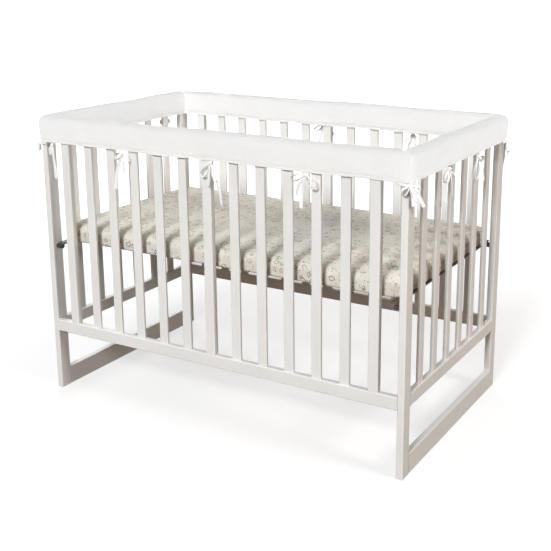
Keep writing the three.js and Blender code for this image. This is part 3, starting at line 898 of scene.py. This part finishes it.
def bed_profile(half_y):
    """Rows from the underside to the top's middle: height, inset, length of cloth down from the edge."""
    edge = bed_high[2] - bed_low[2] - BED_CROWN
    turn = np.linspace(0, math.pi / 2, ROUND_STEPS)
    rows = [(0.0, inset) for inset in UNDERSIDE_INSETS]
    rows += list(zip(LOWER_ROUND * (1 - np.cos(turn)), LOWER_ROUND * (1 - np.sin(turn))))
    rows += [(high, 0.0) for high in np.linspace(LOWER_ROUND, edge - UPPER_ROUND, SIDE_STEPS + 2)[1:-1]]
    rows += list(zip(edge - UPPER_ROUND * (1 - np.sin(turn)), UPPER_ROUND * (1 - np.cos(turn))))
    runs = path_length(np.array(rows))
    drops = list(runs[-1] - runs)
    for inset in np.linspace(UPPER_ROUND, half_y - BED_SLACK, TOP_RINGS)[1:]:
        inward = 1 - ((half_y - inset) / (half_y - UPPER_ROUND)) ** 2
        rows.append((edge + SHEET_CROWN * inward, inset))
        drops.append(0.0)
    return [(up, inset, drop) for (up, inset), drop in zip(rows, drops)]


def mattress(material):
    """A crowned form in a tight sheet, its rings running from the underside to the top's middle."""
    half_x, half_y = bed_high[0] - BED_SLACK, bed_high[1] - BED_SLACK
    count = int(4 * (half_x + half_y) / BED_STEP)
    points, uvs = [], []
    profile = bed_profile(half_y)
    for up, inset, drop in profile:
        radius = min(BED_ROUND - inset * BED_ROUND_TIGHTENS, half_y - inset - BED_LEAST_STRAIGHT)
        radius = max(radius, BED_LEAST_ROUND)
        flat, ways = rounded_outline(half_x - inset, half_y - inset, radius, count)
        level = np.full(count, bed_low[2] + up)
        on_side = up > SIDE_FROM_UP and inset < SIDE_TO_INSET
        move = bed_relief(flat[:, 0], flat[:, 1], np.full(count, up), float(on_side))
        uvs.append(flat + ways * drop)
        if on_side:
            flat = flat + ways * move[:, None]
        elif up > LOWER_ROUND:
            level = level + move - SHEET_SUNK
        points.append(np.column_stack([flat, level]))
    faces = ring_faces(len(profile), count)
    piece = mesh_object("mattress_in_sheet", np.concatenate(points), faces, material, np.concatenate(uvs))
    return outward(piece)


# Stage: floor, light and camera

WHITE = (1, 1, 1)
FLOOR_GREYS = ((0.44, 0.44, 0.44), (0.46, 0.46, 0.46))
FLOOR_REACH = 40.0
FLOOR_GLOW = (0.56, 1)
FLOOR_GLOW_AWAY = (0.8, 4.0)
AIM_HIGH = 0.6
LAMP_AWAY = 9.5

# Azimuth 0 is straight in front and 90 degrees is off the right end; an elevation below 0 is from below
CRIB_LAMPS = (
    {"name": "key", "azimuth": 8, "elevation": 30, "size": 2.2, "power": 810, "colour": (0.965, 0.985, 1)},
    {"name": "right_fill", "azimuth": 84, "elevation": 30, "size": 2.2, "power": 395,
     "colour": (1, 0.925, 0.85)},
    {"name": "back_fill", "azimuth": 222, "elevation": 20, "size": 5.0, "power": 430, "colour": WHITE},
)
CLOTH_LIGHT_COLOUR = (0.98, 0.993, 1)
COVER_SPREAD = 165
TIE_LIGHT = {"name": "tie_light", "azimuth": 100, "elevation": 15, "strength": 1.9}
TIE_SPREAD = 80
# Without shadow a light reaches the inner faces in part, and in full with importance sampling off
COVER_LIGHTS = (
    {"name": "cover_light_0", "azimuth": 0, "elevation": 3, "strength": 2.03,
     "shadow": False, "sampled": False},
    {"name": "cover_light_92", "azimuth": 92, "elevation": 1, "strength": 1.80,
     "shadow": False, "sampled": True},
    {"name": "cover_light_225", "azimuth": 225, "elevation": -14, "strength": 1.80,
     "shadow": True, "sampled": True},
)
AMBIENT = ((0.130, 0.076, 0.036), (0.240, 0.240, 0.240))  # from the horizon down, and from high up
AMBIENT_HIGH = (0, 0.8)

# The camera, in metres and degrees, with its lens and sensor in millimetres
EYE = (1.579, -2.523, 1.335)
EYE_DOWN = 13.98
EYE_TURN = 29.45
LENS = 63.5
SENSOR = 36
SHIFT = (-0.0753, -0.1189)


def floor():
    """Pale paper that brightens into a white sweep away from the crib."""
    material, tree, shader = new_material("floor_paper")
    place = object_place(tree)
    colour = mixed(tree, noise_value(tree, place, scale=3.0), *FLOOR_GREYS)
    tree.links.new(colour, shader.inputs["Base Color"])
    shader.inputs["Roughness"].default_value = 0.9
    away = tree.nodes.new("ShaderNodeVectorMath")
    away.operation = "LENGTH"
    tree.links.new(place, away.inputs[0])
    glow = mapped(tree, away.outputs["Value"], FLOOR_GLOW_AWAY, FLOOR_GLOW)
    tree.links.new(glow, shader.inputs["Emission Strength"])
    shader.inputs["Emission Color"].default_value = (*WHITE, 1)
    corners = [(FLOOR_REACH * x, FLOOR_REACH * y, 0) for x, y in ((-1, -1), (1, -1), (1, 1), (-1, 1))]
    sheet = mesh_object("floor", corners, [(0, 1, 2, 3)], material)
    sheet.visible_diffuse = False


def lamp(row, kind, strength, colour):
    """A lamp aimed at the crib, from the row's azimuth and elevation."""
    turn, rise = math.radians(row["azimuth"]), math.radians(row["elevation"])
    way = Vector((math.sin(turn) * math.cos(rise), -math.cos(turn) * math.cos(rise), math.sin(rise)))
    data = bpy.data.lights.new(row["name"], kind)
    data.energy = strength
    data.color = colour
    made = bpy.data.objects.new(row["name"], data)
    made.location = Vector((0, 0, AIM_HIGH)) + way * LAMP_AWAY
    made.rotation_euler = way.to_track_quat("Z", "Y").to_euler()
    bpy.context.scene.collection.objects.link(made)
    return made


def linked(made, pieces, state):
    """The lamp falls on these pieces alone (INCLUDE), or on all but these (EXCLUDE)."""
    group = bpy.data.collections.new(f"{made.name}_{state.lower()}")
    for piece in pieces:
        group.objects.link(piece)
    for member in group.collection_objects:
        member.light_linking.link_state = state
    made.light_linking.receiver_collection = group


def cloth_light(row, spread, pieces):
    """A broad light that falls on these pieces of white cloth alone."""
    made = lamp(row, "SUN", row["strength"], CLOTH_LIGHT_COLOUR)
    made.data.angle = math.radians(spread)
    linked(made, pieces, "INCLUDE")
    return made


def studio(cover_sections, ties):
    """Lamps on the crib and the bows, broad lights on the cover, and a backdrop white to the camera."""
    for row in CRIB_LAMPS:
        made = lamp(row, "AREA", row["power"], row["colour"])
        made.data.shape = "SQUARE"
        made.data.size = row["size"]
        linked(made, cover_sections, "EXCLUDE")
    cloth_light(TIE_LIGHT, TIE_SPREAD, ties)
    for row in COVER_LIGHTS:
        made = cloth_light(row, COVER_SPREAD, cover_sections)
        made.data.use_shadow = row["shadow"]
        made.data.cycles.use_multiple_importance_sampling = row["sampled"]
    world = bpy.data.worlds.new("studio")
    world.use_nodes = True
    tree = world.node_tree
    _, _, high = split(tree, tree.nodes.new("ShaderNodeTexCoord").outputs["Generated"])
    ambient = mixed(tree, mapped(tree, high, AMBIENT_HIGH), *AMBIENT)
    backdrop = tree.nodes.new("ShaderNodeLightPath").outputs["Is Camera Ray"]
    tree.links.new(mixed(tree, backdrop, ambient, WHITE), tree.nodes["Background"].inputs["Color"])
    bpy.context.scene.world = world
    bpy.context.scene.view_settings.view_transform = "Standard"


def camera():
    data = bpy.data.cameras.new("camera")
    data.sensor_width = SENSOR
    data.lens = LENS
    data.shift_x, data.shift_y = SHIFT
    eye = bpy.data.objects.new("camera", data)
    eye.location = EYE
    eye.rotation_euler = (math.radians(90 - EYE_DOWN), 0, math.radians(EYE_TURN))
    bpy.context.scene.collection.objects.link(eye)
    bpy.context.scene.camera = eye


# Assembly

def paint_crib():
    """Each timber of the crib gets the paint whose grain runs along it, the board its own wood."""
    paints = {way: painted_wood(f"painted_wood_{way}", way) for way in "xyz"}
    board = board_wood()
    posts = painted_wood("painted_wood_post", "z", pegs=True)
    for name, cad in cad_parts.items():
        if name.startswith(("cover_", "tie_")) or name == "mattress":
            continue
        if name == "mattress_base":
            chosen = board
        elif name.startswith(("bottom_rail", "top_rail")):
            chosen = paints["x"]
        elif name.startswith("sled_rail"):
            chosen = paints["y"]
        elif name.startswith("post"):
            chosen = posts
        else:
            chosen = paints["z"]
        for slot in cad.material_slots:
            slot.material = chosen


camera()
floor()
paint_crib()

cover_sections = []
cover_material = cover_cloth()
for side_name in SIDES:
    section = cover_section(side_name, cover_material)
    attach(section, "root")
    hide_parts(f"cover_{side_name}")
    cover_sections.append(section)

ties = []
tape_material = tape_cloth()
for index, rail_row in enumerate(RAIL_TIES):
    ties.append(rail_tie(rail_row, index + 1, tape_material))
for corner_row in CORNER_TIES:
    ties.append(corner_tie(corner_row, tape_material))
studio(cover_sections, ties)

bed = mattress(printed_cloth())
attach(bed, "root")
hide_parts("mattress")
